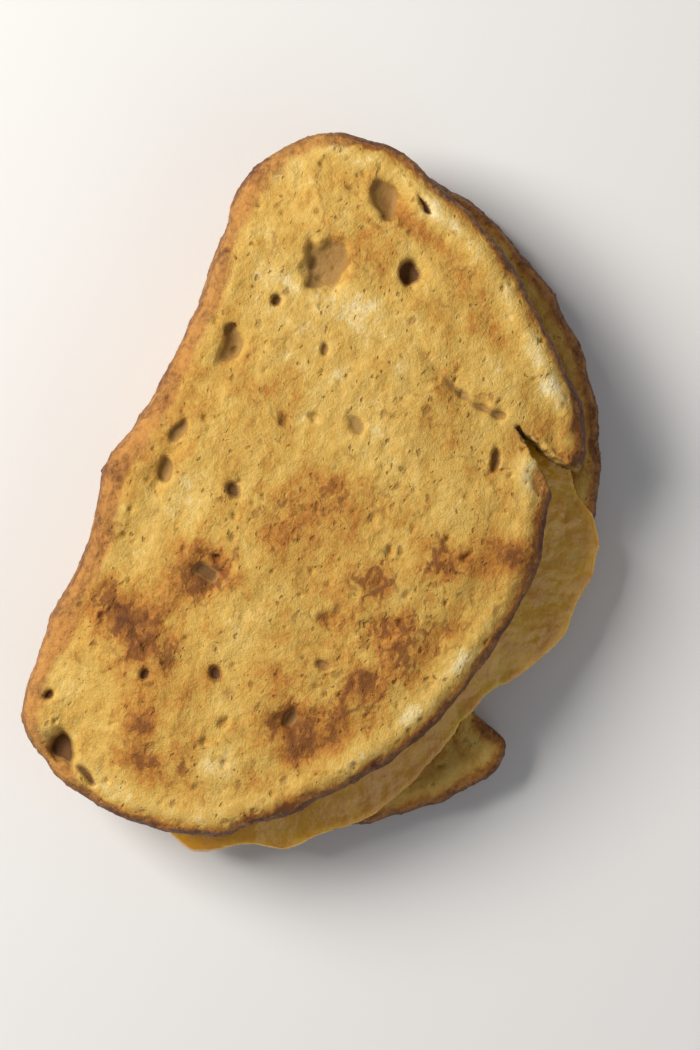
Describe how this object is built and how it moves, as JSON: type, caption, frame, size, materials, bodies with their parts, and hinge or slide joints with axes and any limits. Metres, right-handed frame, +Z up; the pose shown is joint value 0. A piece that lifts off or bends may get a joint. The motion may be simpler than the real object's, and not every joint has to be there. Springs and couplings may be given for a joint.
{
  "type": "grilled cheese sandwich",
  "caption": "Toasted sandwich of crusty loaf slices with a layer of melted cheese that runs out over the lower slice's edge.",
  "frame": {"origin": "middle of the sandwich's footprint, on the surface that it lies on", "axes": "+Z up, +X along the loaf, -Y towards the loaf's dome, where the cheese runs out"},
  "size_m": [0.1326, 0.0914, 0.0282],
  "materials": {
    "toasted_bread": "golden toasted crumb with a browned crust, dry and matte",
    "melted_cheese": "soft yellow melted cheese with an oily gloss"
  },
  "bodies": {
    "root": {"lower_slice": "toasted_bread", "cheese": "melted_cheese", "upper_slice": "toasted_bread"}
  },
  "joints": []
}
